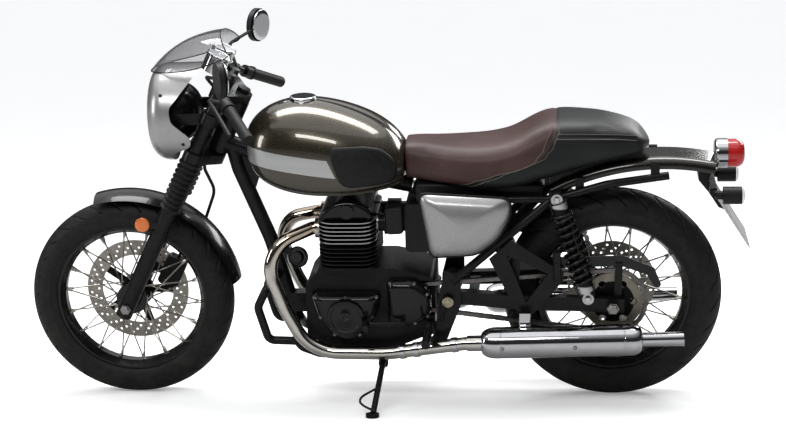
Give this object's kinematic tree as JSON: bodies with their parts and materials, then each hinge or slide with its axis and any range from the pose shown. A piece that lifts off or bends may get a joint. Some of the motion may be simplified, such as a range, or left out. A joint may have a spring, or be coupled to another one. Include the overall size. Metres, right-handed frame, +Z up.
{
  "type": "cafe racer motorcycle",
  "caption": "Retro cafe racer motorcycle with a bikini cowl, low bars, an upright twin engine, wire wheels and a humped seat, leaning on its side stand.",
  "frame": {"origin": "on the ground, in the middle of the machine's outline as it stands leaning on its side stand", "axes": "+X to the rear of the machine, +Y to its right side, +Z up from the ground"},
  "size_m": [2.1926, 0.8169, 1.1833],
  "materials": {
    "tyre_rubber": "matt",
    "rubber": "matt",
    "frame_black": "satin black paint",
    "gloss_black": "gloss black paint",
    "engine_black": "black coated castings",
    "polished": "polished",
    "silver_paint": "satin silver paint",
    "dark_paint": "dark metallic paint",
    "chrome": "chrome plate",
    "steel": "brushed",
    "chain_steel": "oiled",
    "black_plastic": "matt",
    "clear_plastic": "clear",
    "lens_glass": "clear",
    "red_lens": "translucent red",
    "leather": "stitched dark brown and black",
    "plate_white": "blank"
  },
  "bodies": {
    "chassis": {"main_frame": "frame_black", "swingarm": "frame_black", "crankcase": "engine_black", "cylinder_block": "engine_black", "cylinder_head": "engine_black", "cam_cover": "polished", "left_engine_covers": "engine_black", "right_engine_cover": "engine_black", "throttle_bodies": "engine_black", "airbox": "black_plastic", "exhaust_headers": "chrome", "silencers": "chrome", "fuel_tank": "dark_paint", "filler_cap": "chrome", "knee_pads": "rubber", "seat": "leather", "side_covers": "silver_paint", "rear_fender": "dark_paint", "tail_lamp_housing": "chrome", "tail_lamp_lens": "red_lens", "plate_bracket": "frame_black", "number_plate": "plate_white", "rear_indicators": "black_plastic", "drive_chain": "chain_steel", "chain_guard": "gloss_black", "shock_absorbers": "black_plastic", "shock_springs": "black_plastic", "foot_controls": "frame_black", "engine_guard": "frame_black", "rear_caliper": "engine_black"},
    "steering": {"triple_clamps": "frame_black", "fork_tubes": "frame_black", "fork_sliders": "frame_black", "fork_gaiters": "rubber", "front_fender": "gloss_black", "front_caliper": "engine_black", "headlamp_shell": "gloss_black", "headlamp_lens": "lens_glass", "headlamp_brackets": "frame_black", "cowl": "silver_paint", "windscreen": "clear_plastic", "handlebar": "frame_black", "grips": "rubber", "levers": "black_plastic", "mirrors": "black_plastic", "instruments": "chrome", "brake_hose": "rubber"},
    "front_wheel": {"front_tyre": "tyre_rubber", "front_rim": "gloss_black", "front_spokes": "steel", "front_hub": "gloss_black", "front_brake_disc": "steel"},
    "rear_wheel": {"rear_tyre": "tyre_rubber", "rear_rim": "gloss_black", "rear_spokes": "steel", "rear_hub": "gloss_black", "rear_brake_disc": "steel", "rear_sprocket": "steel"},
    "side_stand": {"side_stand": "frame_black"}
  },
  "joints": [
    {"name": "steering_head", "type": "hinge", "parent": "chassis", "child": "steering", "pos_m": [-0.73195, 0.11809, 0.28811], "axis": [0.4384, -0.1406, 0.8877], "range_deg": [-35, 35]},
    {"name": "front_wheel_spin", "type": "hinge", "parent": "steering", "child": "front_wheel", "pos_m": [-0.78139, 0.11432, 0.31192], "axis": [0, 0.9877, 0.1564], "continuous": true},
    {"name": "rear_wheel_spin", "type": "hinge", "parent": "chassis", "child": "rear_wheel", "pos_m": [0.69361, 0.11213, 0.32575], "axis": [0, 0.9877, 0.1564], "continuous": true},
    {"name": "side_stand_fold", "type": "hinge", "parent": "chassis", "child": "side_stand", "pos_m": [0.00211, 0.01734, 0.13153], "axis": [0.0842, -0.7664, 0.6368], "range_deg": [0, 101]}
  ]
}
